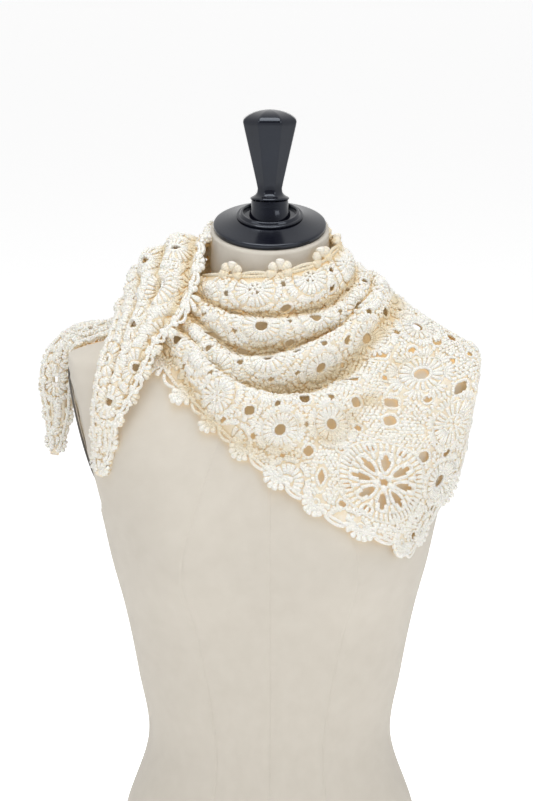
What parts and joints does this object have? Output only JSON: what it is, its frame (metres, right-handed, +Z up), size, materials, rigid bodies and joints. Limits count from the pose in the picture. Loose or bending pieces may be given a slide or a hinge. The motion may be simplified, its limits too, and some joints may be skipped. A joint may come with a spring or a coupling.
{
  "type": "crocheted lace shawl on a dress form",
  "caption": "Ivory crocheted lace shawl with flower motifs, wound in folds round the neck of a linen dress form and crossed on one shoulder, its ends hanging front and back.",
  "frame": {"origin": "centre of the flat underside of the board that closes the dress form, on the floor it stands on", "axes": "+Z up, the front of the form faces -Y, and the shoulder where the shawl is crossed, on the left as seen from the front, is at -X"},
  "size_m": [0.4154, 0.2423, 0.8264],
  "materials": {
    "wool": "matt ivory crocheted wool",
    "linen": "matt natural linen cover",
    "plate": "matt paint with a dark edge",
    "lacquer": "turned wood in black gloss lacquer",
    "board": "plain board"
  },
  "bodies": {
    "root": {"base_board": "board", "torso": "linen", "arm_plate_left": "plate", "arm_plate_right": "plate", "neck_cap": "lacquer", "cap_ring": "lacquer", "knob_stem": "lacquer", "knob": "lacquer", "shawl_front": "wool", "shawl_back": "wool", "shawl_end_front": "wool", "shawl_end_back": "wool"}
  },
  "joints": []
}
